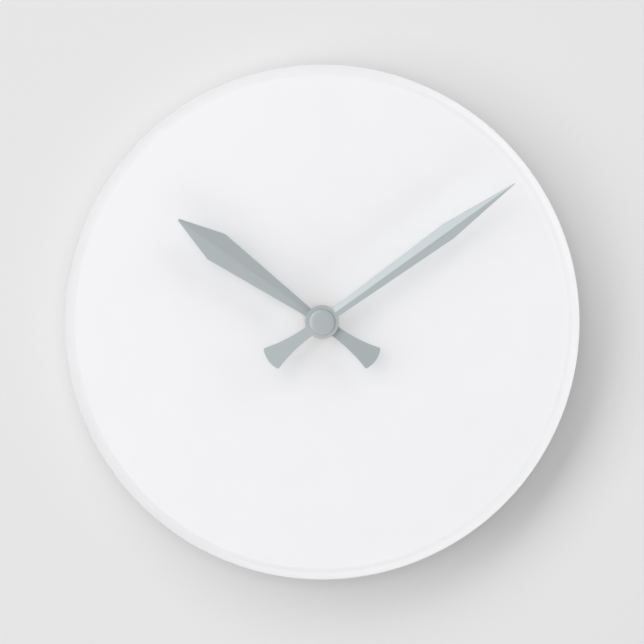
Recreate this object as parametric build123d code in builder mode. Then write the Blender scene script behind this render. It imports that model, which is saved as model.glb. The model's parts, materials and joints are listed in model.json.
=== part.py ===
from build123d import *
from math import acos, atan2, cos, hypot, pi, radians, sin, tan
import os

# A frameless round wall clock: a white acrylic disc, two silver hands and a quartz movement
# behind the disc. Millimetres. X runs right, Z up and Y into the wall. The origin is on the
# hand axis in the wall plane, and a depth is a distance from the wall towards the viewer.

# Dial
dial_radius = 101.6
dial_thickness = 6.0
dial_round_over = 4.6
dial_back_edge = 0.5
dial_hole_clearance = 0.15

# Battery, an AA cell lying across the case
cell_radius = 7.25
cell_length = 50.5
cell_wrap = 0.25
cell_nub_radius = 2.75
cell_nub_length = 1.2
cell_shoulder = 1.5
cell_end_gap = 0.1
cell_side_gap = 0.35
cell_front_gap = 0.25
divider_gap = 0.15

# Movement case, a square shell round the cell and the train
contact_room = 2.7
case_corner = 3.0
case_wall = 1.4
front_wall = 1.5
cover_depth = 11.0
post_radius = 1.5
post_inset = 3.0
post_heights = (-8.0, 5.0)
divider_thickness = 0.8
divider_end_gap = 0.5

# Hanging tab on the rear cover
tab_radius = 7.0
tab_thickness = 2.4
tab_rise = 5.0
nail_hole_radius = 2.6
nail_hole_rise = 1.2

# Battery contacts, bent from strip
strip_thickness = 0.4
contact_end_gap = 0.2
contact_top_gap = 0.9
contact_near_wall = 2.5
strip_width = 2.6
strip_tab_reach = 5.2
strip_tab_height = 3.0
leaf_half_span = 4.5
leaf_half_top = 0.5
leaf_width = 6.0

# Stack on the threaded bushing
thread_radius = 4.0
thread_show = 1.3
bushing_bore_clearance = 0.06
rubber_thickness = 1.0
rubber_radius = 9.0
washer_thickness = 0.5
washer_radius = 6.2
nut_thickness = 2.2
nut_across_flats = 11.0
nut_chamfer = 0.3

# Running fits of the arbors
pivot_radius = 0.5
pivot_clearance = 0.05
end_shake = 0.1
arbor_radius = 0.8
pivot_floor = 0.7
boss_radius = 1.7
rear_boss_top = 2.4
third_boss_gap = 2.0
setting_boss_gap = 0.5
tube_clearance = 0.06

# Middle plate
plate_start = 8.4
plate_end = 9.6
plate_side_gap = 1.4
plate_divider_gap = 0.5
plate_high = 15.2
collar_radius = 2.6
collar_height = 0.5

# Tubes of the hands
minute_tube_radius = 1.6
minute_tube_bore = 0.8
minute_tube_show = 0.5
hour_tube_radius = 2.5
hour_tube_show = 0.4
seconds_shaft_clearance = 0.08
seconds_shaft_short = 2.0

# Teeth: involute, with short tips and a thinned flank for backlash
pressure_angle = radians(25)
pinion_addendum = 0.8
wheel_addendum = 0.7
dedendum = 1.05
tooth_thinning = 0.05
pinion_teeth = 8
rotor_module = 0.34
intermediate_teeth = 40
seconds_module = 0.36
seconds_teeth = 48
third_module = 0.33
third_teeth = 60
centre_teeth = 64
cannon_teeth = 12
cannon_module = 0.4
motion_teeth = 36
motion_pinion_teeth = 10
hour_teeth = 40

# Gear layers, as depths of the two faces
rotor_pinion_layer = (3.0, 4.5)
intermediate_layer = (3.3, 4.2)
intermediate_pinion_layer = (4.7, 6.3)
seconds_layer = (5.0, 6.0)
seconds_pinion_layer = (6.3, 8.1)
third_layer = (6.9, 7.9)
third_pinion_layer = (9.9, 11.5)
centre_layer = (10.3, 11.3)
clutch_layer = (11.3, 11.7)
cannon_layer = (11.8, 13.4)
motion_layer = (12.0, 13.2)
motion_pinion_layer = (13.2, 15.2)
hour_layer = (14.1, 15.2)
hour_wheel_gap = 0.3
clutch_radius = 2.6
lightening_holes = 5

# Directions in which the trains leave their mates, from +X towards +Z
third_direction = radians(20)
intermediate_direction = radians(125)
rotor_direction = radians(160)
setting_at = (-16.0, -3.0)

# Setting knob in its well in the rear cover
knob_radius = 4.6
knob_layer = (0.5, 2.7)
knob_grooves = 16
knob_groove_radius = 0.5
well_radius = 5.2
well_wall = 1.0
well_floor = 3.2
setting_arbor_radius = 1.0
setting_arbor_clearance = 0.06
plate_pass_clearance = 0.4

# Stepping motor
magnet_radius = 3.0
magnet_layer = (5.0, 8.0)
stator_layer = (5.6, 6.8)
magnet_gap = 0.5
stator_ring_width = 2.0
stator_arm_width = 4.0
stator_left_reach = 9.0
stator_right_reach = 11.0
stator_left_drop = 2.0
stator_right_rise = 1.6
stator_bar = 3.4
core_thickness = 1.2
core_clearance = 0.05
coil_wall_gap = 1.4
coil_arm_gap = 1.2
bobbin_flange = 0.8
bobbin_flange_radius = 4.2
bobbin_tube_radius = 2.9
winding_radius = 3.8
pillar_radius = 1.3

# Circuit board
board_side_gap = 1.6
board_top_gap = 0.6
board_height = 10.2
board_thickness = 1.0
board_post_height = 1.5
board_post_inset = 5.0
board_post_radius = 1.5
chip_x = 6.0
chip_radius = 3.0
chip_height = 1.2
crystal_radius = 1.0
crystal_length = 6.2
crystal_x = 12.0
crystal_drop = 2.0

# Hands, stamped from sheet with a raised spine; lengths are measured from the axis
sheet = 0.4
flat_below_spine = 0.6
minute_clock_angle = radians(54.3)
hour_clock_angle = radians(-54.5)
neck_reach = 7.5
minute_neck_half = 2.0
minute_belly_reach = 61.2
minute_belly_half = 3.5
minute_reach = 93.5
minute_tip_half = 0.15
minute_above_hour = 3.2
minute_slope = 0.24
hour_neck_half = 1.85
hour_belly_reach = 51.0
hour_belly_half = 6.05
hour_reach = 69.4
hour_tip_half = 0.4
hour_above_collet = 2.2
hour_slope = 0.05
tail_neck_half = 2.15
tail_flare_radius = 58.0
tail_corner_reach = 24.7
tail_corner_half = 5.0
tail_reach = 26.0
tail_corner_round = 0.7
neck_strip_half = 1.0
neck_strip_overlap = 1.0
minute_disc_radius = 6.6
minute_blade_start = 6.3
hour_disc_radius = 5.2
hour_blade_start = 4.8
hour_hole_radius = 3.0
collet_radius = 3.7
collet_gap = 0.6
collet_lip = 0.5

# Hub under the minute hand's disc, and the cap on it
hub_radius = 3.0
hub_height = 1.4
cap_radius = 4.95
cap_height = 1.3
cap_bevel = 0.3
cap_socket_gap = 0.1

inner_half = (cell_length + contact_room) / 2
half_case = inner_half + case_wall
case_width = 2 * half_case
inner_corner = case_corner - case_wall
front_inner = hour_layer[1] + hour_wheel_gap
case_depth = front_inner + front_wall

cell_height = -inner_half + cell_radius + cell_side_gap
cell_depth = front_inner - cell_radius - cell_front_gap
divider_low = cell_height + cell_radius + divider_gap
divider_top = divider_low + divider_thickness
post_x = inner_half - post_inset
tab_centre = half_case + tab_rise
nail_hole_centre = tab_centre + nail_hole_rise

dial_back = case_depth + rubber_thickness
dial_front = dial_back + dial_thickness
washer_front = dial_front + washer_thickness
bushing_end = washer_front + nut_thickness + thread_show
collet_start = bushing_end + collet_gap
hour_spine = collet_start + hour_above_collet
hour_tube_end = hour_spine + hour_tube_show
hour_flat = hour_spine - flat_below_spine
minute_spine = hour_spine + minute_above_hour
minute_flat = minute_spine - flat_below_spine
cap_back = minute_flat + sheet
minute_tube_end = cap_back + minute_tube_show
seconds_shaft_end = minute_tube_end - seconds_shaft_short
seconds_shaft_radius = minute_tube_bore - seconds_shaft_clearance

hub_at = (0.0, 0.0)


def beyond(start, direction, distance):
    """The point at a distance from another, in the plane of the dial."""
    return start[0] + distance * cos(direction), start[1] + distance * sin(direction)


def spacing(module, first_teeth, second_teeth):
    """Distance between the axes of two gears in mesh."""
    return module * (first_teeth + second_teeth) / 2


third_spacing = spacing(third_module, pinion_teeth, third_teeth)
third_at = beyond(hub_at, third_direction, third_spacing)
centre_module = 2 * third_spacing / (pinion_teeth + centre_teeth)
intermediate_spacing = spacing(seconds_module, pinion_teeth, seconds_teeth)
intermediate_at = beyond(hub_at, intermediate_direction, intermediate_spacing)
rotor_spacing = spacing(rotor_module, pinion_teeth, intermediate_teeth)
rotor_at = beyond(intermediate_at, rotor_direction, rotor_spacing)

# The motion wheel is equally far from the hand axis and from the setting axis.
motion_spacing = spacing(cannon_module, cannon_teeth, motion_teeth)
hour_module = 2 * motion_spacing / (motion_pinion_teeth + hour_teeth)
setting_direction = atan2(setting_at[1], setting_at[0])
motion_swing = acos(hypot(*setting_at) / 2 / motion_spacing)
motion_direction = setting_direction - motion_swing
motion_at = beyond(hub_at, motion_direction, motion_spacing)
motion_to_setting = setting_direction + motion_swing

# The coil lies under the top wall, between the two arms of the stator.
coil_height = inner_half - bobbin_flange_radius - coil_wall_gap
core_half_width = stator_arm_width / 2
core_heights = (coil_height - core_half_width, coil_height + core_half_width)
stator_hole = magnet_radius + magnet_gap
stator_ring = stator_hole + stator_ring_width
stator_left = (rotor_at[0] - stator_left_reach, rotor_at[0] - stator_left_reach + stator_arm_width)
stator_right = (rotor_at[0] + stator_right_reach - stator_arm_width, rotor_at[0] + stator_right_reach)
stator_left_low = rotor_at[1] - stator_left_drop
stator_right_low = rotor_at[1] + stator_right_rise
bobbin_ends = (stator_left[1] + coil_arm_gap, stator_right[0] - coil_arm_gap)
core_layer = (stator_layer[1], stator_layer[1] + core_thickness)
core_depth = sum(core_layer) / 2

board_front = front_inner - board_post_height
board_layer = (board_front - board_thickness, board_front)
board_half_width = inner_half - board_side_gap
board_heights = (inner_half - board_top_gap - board_height, inner_half - board_top_gap)
board_post_x = board_half_width - board_post_inset
chip_at = (chip_x, coil_height)


def at_depth(depth, at=hub_at):
    """A plane parallel to the dial whose normal looks at the viewer."""
    return Plane(origin=(at[0], -depth, at[1]), x_dir=(1, 0, 0), z_dir=(0, -1, 0))


def along_x(start, at, depth):
    """A plane square to X, for round pieces that lie across the case."""
    return Plane(origin=(start, -depth, at), x_dir=(0, 1, 0), z_dir=(1, 0, 0))


def hand_plane(clock_angle, depth):
    """A plane parallel to the dial whose X points along a hand."""
    pointing = (sin(clock_angle), 0, cos(clock_angle))
    return Plane(origin=(0, -depth, 0), x_dir=pointing, z_dir=(0, -1, 0))


def across_hand(clock_angle, reach):
    """A plane square to a hand, with X across the hand and Y towards the viewer."""
    pointing = (sin(clock_angle), 0, cos(clock_angle))
    origin = (reach * pointing[0], 0, reach * pointing[2])
    return Plane(origin=origin, x_dir=(-pointing[2], 0, pointing[0]), z_dir=pointing)


def round_step(at, radius, layer, mode=Mode.ADD):
    """A round step, or a hole, about an axis square to the dial."""
    with Locations(at_depth(layer[0], at)):
        Cylinder(radius, layer[1] - layer[0], align=(Align.CENTER, Align.CENTER, Align.MIN), mode=mode)


def block(across, upward, layer, mode=Mode.ADD):
    """A box between two values of X, two of Z and two depths."""
    middle = (sum(across) / 2, -sum(layer) / 2, sum(upward) / 2)
    with Locations(middle):
        Box(across[1] - across[0], layer[1] - layer[0], upward[1] - upward[0], mode=mode)


def polar(radius, angle):
    return radius * cos(angle), radius * sin(angle)


def involute(angle):
    return tan(angle) - angle


def meshed(direction, teeth, phase, mate_teeth):
    """Phase of a gear in mesh with another that lies in the opposite direction."""
    pitches = (direction - phase) * teeth / (2 * pi)
    return direction + pi + (2 * pitches + 1) * pi / mate_teeth


def gear_face(teeth, module, phase, addendum):
    """A spur gear's outline about the origin, with one tooth centred on the phase angle."""
    pitch_radius = teeth * module / 2
    base_radius = pitch_radius * cos(pressure_angle)
    tip_radius = pitch_radius + addendum * module
    root_radius = pitch_radius - dedendum * module
    flank_radius = max(base_radius, root_radius)
    half_tooth = (pi * module / 2 - tooth_thinning) / 2 / pitch_radius

    def half_angle(radius):
        return half_tooth + involute(pressure_angle) - involute(acos(base_radius / radius))

    radii = (flank_radius, (flank_radius + tip_radius) / 2, tip_radius)
    angles = [half_angle(radius) for radius in radii]
    rising = [polar(radius, phase - angle) for radius, angle in zip(radii, angles)]
    falling = [polar(radius, phase + angle) for radius, angle in zip(radii, angles)]
    gap_start = phase + angles[0]
    gap_middle = phase + pi / teeth
    gap_end = 2 * gap_middle - gap_start
    with BuildLine() as tooth:
        ThreePointArc(*rising)
        ThreePointArc(rising[-1], polar(tip_radius, phase), falling[-1])
        ThreePointArc(*falling)
        ThreePointArc(*(polar(root_radius, angle) for angle in (gap_start, gap_middle, gap_end)))
        if root_radius < flank_radius:
            for angle in (gap_start, gap_end):
                Line(polar(root_radius, angle), polar(flank_radius, angle))
    turns = [tooth.line.rotate(Axis.Z, 360 / teeth * count) for count in range(teeth)]
    with BuildSketch() as outline:
        make_face([edge for turn in turns for edge in turn.edges()])
    return outline.sketch


def gear(at, layer, teeth, module, phase, addendum):
    """A spur gear added to the piece that is being built."""
    with BuildSketch(at_depth(layer[0], at)) as teeth_plane:
        add(gear_face(teeth, module, phase, addendum))
    extrude(teeth_plane.sketch, amount=layer[1] - layer[0])


def lighten(at, layer, hub, tip):
    """A ring of holes between a wheel's hub and its rim."""
    with Locations(at_depth(layer[0], at)):
        with PolarLocations((hub + tip) / 2, lightening_holes):
            Cylinder((tip - hub) / 4, 2 * (layer[1] - layer[0]), mode=Mode.SUBTRACT)


def rear_pivot(at, shoulder_end):
    """An arbor's rear pivot in the rear cover, and its shoulder."""
    round_step(at, pivot_radius, (pivot_floor + end_shake, rear_boss_top + end_shake))
    round_step(at, arbor_radius, (rear_boss_top + end_shake, shoulder_end))


def pivot_hole(at, layer):
    round_step(at, pivot_radius + pivot_clearance, layer, Mode.SUBTRACT)


def blade_face(neck_half, belly_reach, belly_half, reach, tip_half, start):
    """Outline of a hand's blade along X, from a start near the hub to its blunt tip."""
    widening = (belly_half - neck_half) / (belly_reach - neck_reach)
    start_half = neck_half - widening * (neck_reach - start)
    corners = [(start, start_half), (belly_reach, belly_half), (reach, tip_half)]
    corners += [(along, -half) for along, half in reversed(corners)]
    with BuildSketch() as outline:
        with BuildLine():
            Polyline(corners, close=True)
        make_face()
    return outline.sketch


def tail_face():
    """Outline of a hand's flared tail along -X, from the axis to its bowed end."""
    upper = (-tail_corner_reach, tail_corner_half)
    lower = (-tail_corner_reach, -tail_corner_half)
    with BuildSketch() as outline:
        with BuildLine():
            Line((0, -tail_neck_half), (0, tail_neck_half))
            Line((0, tail_neck_half), (-neck_reach, tail_neck_half))
            RadiusArc((-neck_reach, tail_neck_half), upper, tail_flare_radius)
            ThreePointArc(upper, (-tail_reach, 0), lower)
            RadiusArc(lower, (-neck_reach, -tail_neck_half), tail_flare_radius)
            Line((-neck_reach, -tail_neck_half), (0, -tail_neck_half))
        make_face()
        fillet(outline.vertices().group_by(Axis.X)[0], tail_corner_round)
    return outline.sketch


def spine_face(spine, slope, half):
    """Section of the folded sheet: two slopes that meet in a spine."""
    drop = slope * half
    outer = [(-half, spine - drop), (0, spine), (half, spine - drop)]
    inner = [(across, depth - sheet) for across, depth in reversed(outer)]
    with BuildSketch() as section:
        with BuildLine():
            Polyline(outer + inner, close=True)
        make_face()
    return section.sketch


def stamped_hand(clock_angle, blade, spine, slope, half, start, reach, disc_radius, hole_radius):
    """A hand: folded blade, flat tail and a disc with the hole for its hub."""
    wide = half + sheet
    low = spine - slope * wide - sheet
    neck_strip_end = start + neck_strip_overlap
    with BuildPart() as hand:
        with BuildSketch(hand_plane(clock_angle, low)):
            add(blade)
        extrude(amount=spine - low)
        with BuildSketch(across_hand(clock_angle, start)):
            add(spine_face(spine, slope, wide))
        extrude(amount=reach, mode=Mode.INTERSECT)
        with BuildSketch(hand_plane(clock_angle, spine - flat_below_spine)):
            Circle(disc_radius)
            add(tail_face())
            with Locations((neck_strip_end / 2, 0)):
                Rectangle(neck_strip_end, 2 * neck_strip_half)
            Circle(hole_radius, mode=Mode.SUBTRACT)
        extrude(amount=sheet)
    return hand


def ring(outer, inner, layer):
    """A flat ring about the hand axis."""
    with BuildPart() as piece:
        with BuildSketch(at_depth(layer[0])):
            Circle(outer)
            Circle(inner, mode=Mode.SUBTRACT)
        extrude(amount=layer[1] - layer[0])
    return piece


# Dial disc, with its front edge rounded over
with BuildPart() as dial_plate:
    with BuildSketch(at_depth(dial_back)):
        Circle(dial_radius)
        Circle(thread_radius + dial_hole_clearance, mode=Mode.SUBTRACT)
    extrude(amount=dial_thickness)
    rims = dial_plate.edges().filter_by(GeomType.CIRCLE).group_by(SortBy.RADIUS)[-1]
    front_rim = rims.sort_by(Axis.Y)[0]
    back_rim = rims.sort_by(Axis.Y)[-1]
    fillet(front_rim, dial_round_over)
    fillet(back_rim, dial_back_edge)

# Front half of the movement case
with BuildPart() as front_case:
    with BuildSketch(at_depth(cover_depth)):
        RectangleRounded(case_width, case_width, case_corner)
    extrude(amount=case_depth - cover_depth)
    with BuildSketch(at_depth(cover_depth)):
        RectangleRounded(2 * inner_half, 2 * inner_half, inner_corner)
    extrude(amount=front_inner - cover_depth, mode=Mode.SUBTRACT)
    divider_span = (-inner_half + divider_end_gap, inner_half - divider_end_gap)
    divider_heights = (divider_low, divider_top)
    block(divider_span, divider_heights, (cover_depth, front_inner))
    for post_height in post_heights:
        for side in (-1, 1):
            round_step((side * post_x, post_height), post_radius, (plate_end, front_inner))
    for side in (-1, 1):
        round_step((side * board_post_x, coil_height), board_post_radius, (board_layer[1], front_inner))
    third_boss = (third_pinion_layer[1] + third_boss_gap, front_inner)
    setting_boss = (cannon_layer[1] + setting_boss_gap, front_inner)
    pivot_end = case_depth - pivot_floor
    round_step(third_at, boss_radius, third_boss)
    round_step(setting_at, boss_radius, setting_boss)
    pivot_hole(third_at, (third_boss[0], pivot_end))
    pivot_hole(setting_at, (setting_boss[0], pivot_end))
    round_step(motion_at, arbor_radius, (clutch_layer[1], front_inner))
    round_step(hub_at, thread_radius, (front_inner, case_depth), Mode.SUBTRACT)

# Rear half of the case, open over the battery, with the hanging tab and the well of the knob
with BuildPart() as rear_cover:
    with BuildSketch(at_depth(0)):
        RectangleRounded(case_width, case_width, case_corner)
    extrude(amount=cover_depth)
    with BuildSketch(at_depth(case_wall)):
        RectangleRounded(2 * inner_half, 2 * inner_half, inner_corner)
    extrude(amount=cover_depth - case_wall, mode=Mode.SUBTRACT)
    bay_heights = (-inner_half, divider_low)
    block((-inner_half, inner_half), bay_heights, (0, case_wall), Mode.SUBTRACT)
    block(divider_span, divider_heights, (0, cover_depth))
    with BuildSketch(at_depth(0)):
        with Locations((0, tab_centre)):
            Circle(tab_radius)
        with Locations((0, (inner_half + tab_centre) / 2)):
            Rectangle(2 * tab_radius, tab_centre - inner_half)
    extrude(amount=tab_thickness)
    round_step((0, nail_hole_centre), nail_hole_radius, (0, tab_thickness), Mode.SUBTRACT)
    for post_height in post_heights:
        for side in (-1, 1):
            round_step((side * post_x, post_height), post_radius, (case_wall, plate_start))
    for pillar in (sum(stator_left) / 2, sum(stator_right) / 2):
        round_step((pillar, coil_height), pillar_radius, (case_wall, stator_layer[0]))
    for axis_at in (hub_at, third_at, intermediate_at, rotor_at):
        round_step(axis_at, boss_radius, (case_wall, rear_boss_top))
        pivot_hole(axis_at, (pivot_floor, rear_boss_top))
    round_step(setting_at, well_radius + well_wall, (0, well_floor + well_wall))
    round_step(setting_at, well_radius, (0, well_floor), Mode.SUBTRACT)
    setting_hole = setting_arbor_radius + setting_arbor_clearance
    round_step(setting_at, setting_hole, (well_floor, well_floor + well_wall), Mode.SUBTRACT)

# Threaded bushing and the parts that clamp the dial on it
hour_bore = minute_tube_radius + tube_clearance
bushing_bore = hour_tube_radius + bushing_bore_clearance
centre_bushing = ring(thread_radius, bushing_bore, (front_inner, bushing_end))
rubber_washer = ring(rubber_radius, thread_radius, (case_depth, dial_back))
flat_washer = ring(washer_radius, thread_radius, (dial_front, washer_front))

with BuildPart() as hex_nut:
    with BuildSketch(at_depth(washer_front)):
        RegularPolygon(nut_across_flats / 2, 6, major_radius=False)
        Circle(thread_radius, mode=Mode.SUBTRACT)
    extrude(amount=nut_thickness)
    nut_front = hex_nut.faces().sort_by(Axis.Y)[0]
    chamfer(nut_front.outer_wire().edges(), nut_chamfer)

# Middle plate, which carries the front pivots of the motor train
with BuildPart() as middle_plate:
    plate_half_width = inner_half - plate_side_gap
    plate_heights = (divider_top + plate_divider_gap, plate_high)
    block((-plate_half_width, plate_half_width), plate_heights, (plate_start, plate_end))
    round_step(hub_at, collar_radius, (plate_end, plate_end + collar_height))
    collar_bore = minute_tube_radius + tube_clearance
    round_step(hub_at, collar_bore, (plate_end, plate_end + collar_height), Mode.SUBTRACT)
    round_step(hub_at, minute_tube_bore, (plate_start, plate_end), Mode.SUBTRACT)
    pivot_hole(intermediate_at, (plate_start, plate_end))
    pivot_hole(rotor_at, (plate_start, plate_end))
    third_pass = pinion_teeth * centre_module / 2 + plate_pass_clearance
    round_step(third_at, third_pass, (plate_start, plate_end), Mode.SUBTRACT)
    setting_pass = setting_arbor_radius + plate_pass_clearance
    round_step(setting_at, setting_pass, (plate_start, plate_end), Mode.SUBTRACT)

# Stepping motor: stator, core, bobbin and winding
with BuildPart() as stator_plate:
    round_step(rotor_at, stator_ring, stator_layer)
    block(stator_left, (stator_left_low, core_heights[1]), stator_layer)
    block(stator_right, (stator_right_low, core_heights[1]), stator_layer)
    left_bar = (stator_left_low, stator_left_low + stator_bar)
    right_bar = (stator_right_low, stator_right_low + stator_bar)
    block((stator_left[0], rotor_at[0]), left_bar, stator_layer)
    block((rotor_at[0], stator_right[1]), right_bar, stator_layer)
    round_step(rotor_at, stator_hole, stator_layer, Mode.SUBTRACT)

with BuildPart() as coil_core:
    block((stator_left[0], stator_right[1]), core_heights, core_layer)

with BuildPart() as coil_bobbin:
    bobbin_length = bobbin_ends[1] - bobbin_ends[0]
    with BuildSketch(along_x(bobbin_ends[0], coil_height, core_depth)):
        Circle(bobbin_tube_radius)
    extrude(amount=bobbin_length)
    for flange_start in (bobbin_ends[0], bobbin_ends[1] - bobbin_flange):
        with BuildSketch(along_x(flange_start, coil_height, core_depth)):
            Circle(bobbin_flange_radius)
        extrude(amount=bobbin_flange)
    with BuildSketch(along_x(bobbin_ends[0], coil_height, core_depth)):
        Rectangle(core_thickness + 2 * core_clearance, 2 * (core_half_width + core_clearance))
    extrude(amount=bobbin_length, mode=Mode.SUBTRACT)

with BuildPart() as coil_winding:
    with BuildSketch(along_x(bobbin_ends[0] + bobbin_flange, coil_height, core_depth)):
        Circle(winding_radius)
        Circle(bobbin_tube_radius, mode=Mode.SUBTRACT)
    extrude(amount=bobbin_length - 2 * bobbin_flange)

# Circuit board with its chip and timing crystal
with BuildPart() as circuit_board:
    block((-board_half_width, board_half_width), board_heights, board_layer)

with BuildPart() as ic_chip:
    with BuildSketch(at_depth(board_layer[0] - chip_height, chip_at)):
        Circle(chip_radius)
    extrude(amount=chip_height)
    fillet(ic_chip.faces().sort_by(Axis.Y)[-1].edges(), chip_height / 2)

with BuildPart() as quartz_crystal:
    with BuildSketch(along_x(crystal_x, coil_height - crystal_drop, board_layer[0] - crystal_radius)):
        Circle(crystal_radius)
    extrude(amount=crystal_length)

# Battery contacts: a plate at each end of the cell and a strip up to the board
contact_inner = inner_half - strip_thickness
contact_low = -inner_half + inner_corner + contact_end_gap
contact_high = divider_low - contact_top_gap
strip_front = board_layer[0]
strip_top = coil_height + strip_tab_height / 2
strip_layer = (strip_front - strip_width, strip_front)
strip_tab_heights = (coil_height - strip_tab_height / 2, strip_top)
strip_tab_layer = (strip_front - strip_thickness, strip_front)
with BuildPart() as positive_contact:
    block((contact_inner, inner_half), (contact_low, contact_high), (contact_near_wall, strip_front))
    block((contact_inner, inner_half), (contact_high, strip_top), strip_layer)
    block((inner_half - strip_tab_reach, inner_half), strip_tab_heights, strip_tab_layer)

cell_end = contact_inner - cell_end_gap
cell_start = cell_end - cell_length
leaf_face = cell_start - cell_end_gap
with BuildPart() as negative_contact:
    block((-inner_half, -contact_inner), (contact_low, contact_high), (contact_near_wall, strip_front))
    block((-inner_half, -contact_inner), (contact_high, strip_top), strip_layer)
    block((-inner_half, -inner_half + strip_tab_reach), strip_tab_heights, strip_tab_layer)
    with BuildSketch(at_depth(cell_depth - leaf_width / 2)):
        with BuildLine():
            Polyline(
                (-contact_inner, cell_height - leaf_half_span),
                (leaf_face, cell_height - leaf_half_top),
                (leaf_face, cell_height + leaf_half_top),
                (-contact_inner, cell_height + leaf_half_span),
                (-contact_inner, cell_height + leaf_half_span - 2 * strip_thickness),
                (leaf_face - strip_thickness, cell_height + leaf_half_top),
                (leaf_face - strip_thickness, cell_height - leaf_half_top),
                (-contact_inner, cell_height - leaf_half_span + 2 * strip_thickness),
                close=True,
            )
        make_face()
    extrude(amount=leaf_width)

# Battery cell and its printed sleeve
with BuildPart() as battery_can:
    with BuildSketch(along_x(cell_start, cell_height, cell_depth)):
        Circle(cell_radius - cell_wrap)
    extrude(amount=cell_length - cell_nub_length)
    fillet(battery_can.faces().sort_by(Axis.X)[-1].edges(), cell_shoulder)
    with BuildSketch(along_x(cell_end - cell_nub_length, cell_height, cell_depth)):
        Circle(cell_nub_radius)
    extrude(amount=cell_nub_length)

with BuildPart() as battery_wrap:
    with BuildSketch(along_x(cell_start, cell_height, cell_depth)):
        Circle(cell_radius)
        Circle(cell_radius - cell_wrap, mode=Mode.SUBTRACT)
    extrude(amount=cell_length - cell_nub_length - cell_shoulder)

# Motor train: rotor, intermediate wheel, seconds wheel and third wheel
plate_shoulder = plate_start - end_shake
plate_pivot = (plate_shoulder, plate_end - end_shake)
intermediate_phase = meshed(rotor_direction + pi, pinion_teeth, rotor_direction + pi, intermediate_teeth)
with BuildPart() as rotor_pinion:
    rear_pivot(rotor_at, plate_shoulder)
    gear(rotor_at, rotor_pinion_layer, pinion_teeth, rotor_module, rotor_direction + pi, pinion_addendum)
    round_step(rotor_at, pivot_radius, plate_pivot)

with BuildPart() as rotor_magnet:
    round_step(rotor_at, magnet_radius, magnet_layer)
    round_step(rotor_at, arbor_radius, magnet_layer, Mode.SUBTRACT)

drive_phase = intermediate_direction + pi
seconds_phase = meshed(drive_phase, pinion_teeth, drive_phase, seconds_teeth)
with BuildPart() as intermediate_wheel:
    rear_pivot(intermediate_at, plate_shoulder)
    gear(
        intermediate_at, intermediate_layer, intermediate_teeth,
        rotor_module, intermediate_phase, wheel_addendum,
    )
    lighten(intermediate_at, intermediate_layer, arbor_radius, intermediate_teeth * rotor_module / 2)
    gear(
        intermediate_at, intermediate_pinion_layer, pinion_teeth,
        seconds_module, drive_phase, pinion_addendum,
    )
    round_step(intermediate_at, pivot_radius, plate_pivot)

third_phase = meshed(third_direction, pinion_teeth, third_direction, third_teeth)
with BuildPart() as seconds_wheel:
    rear_pivot(hub_at, seconds_pinion_layer[1])
    gear(hub_at, seconds_layer, seconds_teeth, seconds_module, seconds_phase, wheel_addendum)
    lighten(hub_at, seconds_layer, arbor_radius, seconds_teeth * seconds_module / 2)
    gear(hub_at, seconds_pinion_layer, pinion_teeth, third_module, third_direction, pinion_addendum)

with BuildPart() as seconds_shaft:
    round_step(hub_at, seconds_shaft_radius, (seconds_pinion_layer[1], seconds_shaft_end))

centre_phase = meshed(third_direction + pi, pinion_teeth, third_direction + pi, centre_teeth)
with BuildPart() as third_wheel:
    rear_pivot(third_at, third_boss[0] - end_shake)
    gear(third_at, third_layer, third_teeth, third_module, third_phase, wheel_addendum)
    lighten(third_at, third_layer, arbor_radius, third_teeth * third_module / 2)
    gear(third_at, third_pinion_layer, pinion_teeth, centre_module, third_direction + pi, pinion_addendum)
    round_step(third_at, pivot_radius, (third_boss[0] - end_shake, pivot_end - end_shake))

# Minute arbor with its cannon pinion, and the centre wheel that drives it through a clutch
minute_tube_start = plate_end + end_shake
with BuildPart() as minute_arbor:
    round_step(hub_at, minute_tube_radius, (minute_tube_start, minute_tube_end))
    gear(hub_at, cannon_layer, cannon_teeth, cannon_module, motion_direction, pinion_addendum)
    round_step(hub_at, minute_tube_bore, (minute_tube_start, minute_tube_end), Mode.SUBTRACT)

with BuildPart() as centre_wheel:
    gear(hub_at, centre_layer, centre_teeth, centre_module, centre_phase, wheel_addendum)
    lighten(hub_at, centre_layer, clutch_radius, centre_teeth * centre_module / 2)
    round_step(hub_at, minute_tube_radius, centre_layer, Mode.SUBTRACT)

clutch_spring = ring(clutch_radius, minute_tube_radius, clutch_layer)

# Motion work: motion wheel, hour wheel and the setting arbor
motion_phase = meshed(motion_direction, cannon_teeth, motion_direction, motion_teeth)
setting_phase = meshed(motion_to_setting, motion_teeth, motion_phase, cannon_teeth)
hour_phase = meshed(motion_direction + pi, motion_pinion_teeth, motion_direction + pi, hour_teeth)
with BuildPart() as motion_wheel:
    gear(motion_at, motion_layer, motion_teeth, cannon_module, motion_phase, wheel_addendum)
    motion_hub = motion_pinion_teeth * hour_module / 2
    lighten(motion_at, motion_layer, motion_hub, motion_teeth * cannon_module / 2)
    gear(
        motion_at, motion_pinion_layer, motion_pinion_teeth,
        hour_module, motion_direction + pi, pinion_addendum,
    )
    motion_bore = arbor_radius + pivot_clearance
    round_step(motion_at, motion_bore, (motion_layer[0], motion_pinion_layer[1]), Mode.SUBTRACT)

with BuildPart() as hour_wheel:
    gear(hub_at, hour_layer, hour_teeth, hour_module, hour_phase, wheel_addendum)
    round_step(hub_at, hour_tube_radius, (hour_layer[0], hour_tube_end))
    round_step(hub_at, hour_bore, (hour_layer[0], hour_tube_end), Mode.SUBTRACT)

with BuildPart() as setting_arbor:
    round_step(setting_at, setting_arbor_radius, (knob_layer[0], cannon_layer[0]))
    gear(setting_at, cannon_layer, cannon_teeth, cannon_module, setting_phase, pinion_addendum)
    round_step(setting_at, arbor_radius, (cannon_layer[1], setting_boss[0] - end_shake))
    round_step(setting_at, pivot_radius, (setting_boss[0] - end_shake, pivot_end - end_shake))

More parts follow.
